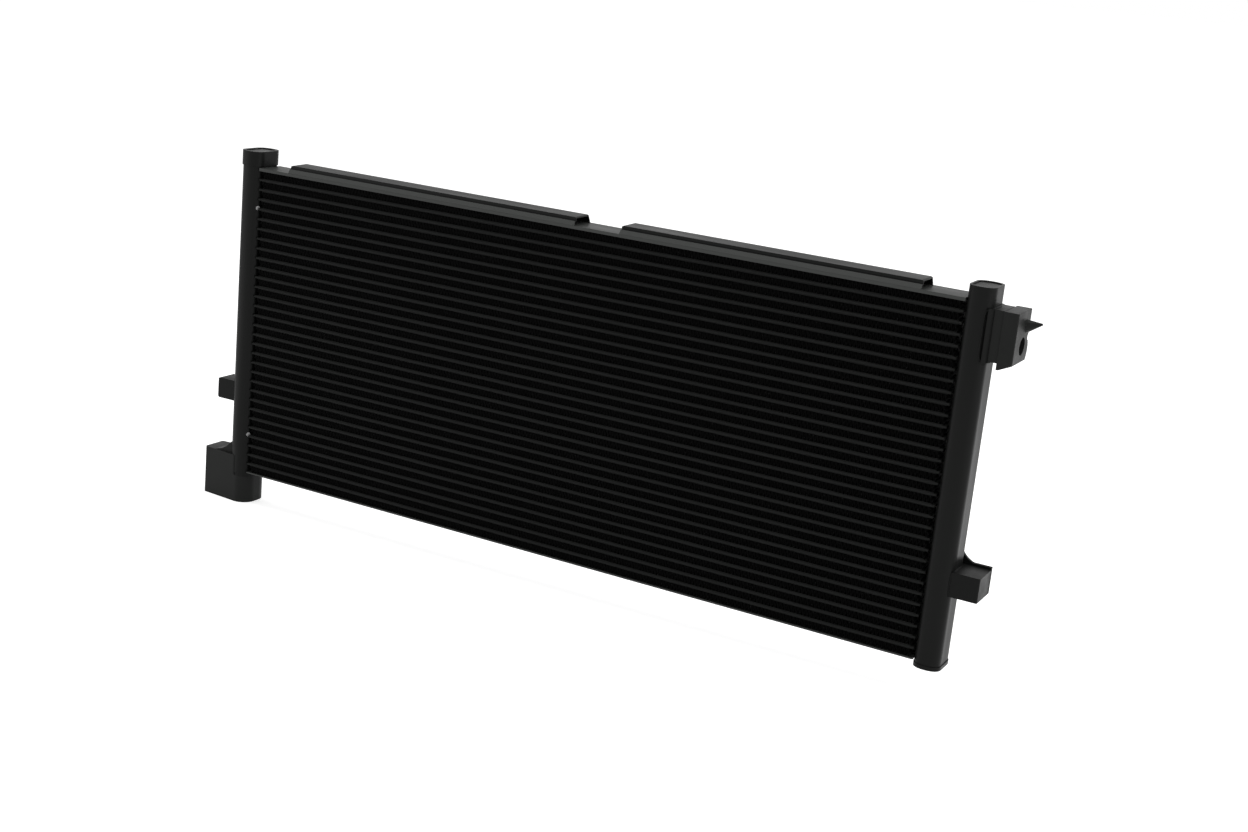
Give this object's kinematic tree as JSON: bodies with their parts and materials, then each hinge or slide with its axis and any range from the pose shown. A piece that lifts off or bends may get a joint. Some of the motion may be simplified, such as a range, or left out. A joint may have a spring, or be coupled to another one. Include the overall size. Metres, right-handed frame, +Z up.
{
  "type": "air conditioning condenser",
  "caption": "Parallel-flow air conditioning condenser: a wide core of flat tubes and corrugated fins between two upright tanks, with connector blocks, rails and fixing brackets.",
  "frame": {"origin": "middle of the underside of the bottom side plate, halfway between the two tanks and in the middle of the core's depth", "axes": "+X along the tubes from the outlet tank to the inlet tank, +Y from the front face of the core to its back, +Z up along the tanks"},
  "size_m": [0.6881, 0.0349, 0.2974],
  "materials": {
    "tank_paint": "satin black paint on extruded aluminium",
    "tube_paint": "satin black paint on flat tube",
    "fin_paint": "thin matt black paint on folded sheet",
    "plate_paint": "satin black paint on folded sheet",
    "block_paint": "satin black paint on machined aluminium",
    "cap_paint": "satin black paint on pressed aluminium",
    "inner_metal": "bare brazed aluminium",
    "plug_metal": "worn bright aluminium"
  },
  "bodies": {
    "root": {"tube_01": "tube_paint", "tube_02": "tube_paint", "tube_03": "tube_paint", "tube_04": "tube_paint", "tube_05": "tube_paint", "tube_06": "tube_paint", "tube_07": "tube_paint", "tube_08": "tube_paint", "tube_09": "tube_paint", "tube_10": "tube_paint", "tube_11": "tube_paint", "tube_12": "tube_paint", "tube_13": "tube_paint", "tube_14": "tube_paint", "tube_15": "tube_paint", "tube_16": "tube_paint", "tube_17": "tube_paint", "tube_18": "tube_paint", "tube_19": "tube_paint", "tube_20": "tube_paint", "tube_21": "tube_paint", "tube_22": "tube_paint", "tube_23": "tube_paint", "tube_24": "tube_paint", "tube_25": "tube_paint", "tube_26": "tube_paint", "tube_27": "tube_paint", "tube_28": "tube_paint", "tube_29": "tube_paint", "tube_30": "tube_paint", "tube_31": "tube_paint", "fins_pass_1": "fin_paint", "fins_pass_2": "fin_paint", "fins_pass_3": "fin_paint", "tank_left": "tank_paint", "tank_right": "tank_paint", "top_cap_left": "cap_paint", "top_cap_right": "cap_paint", "bottom_cap_right": "cap_paint", "baffle_left": "inner_metal", "baffle_right": "inner_metal", "top_plate": "plate_paint", "bottom_plate": "plate_paint", "top_rail_left": "plate_paint", "top_rail_right": "plate_paint", "inlet_saddle": "block_paint", "inlet_block": "block_paint", "lower_bracket": "block_paint", "lower_bracket_plate": "block_paint", "tank_tab": "block_paint", "outlet_block": "block_paint", "tank_plugs": "plug_metal"}
  },
  "joints": []
}
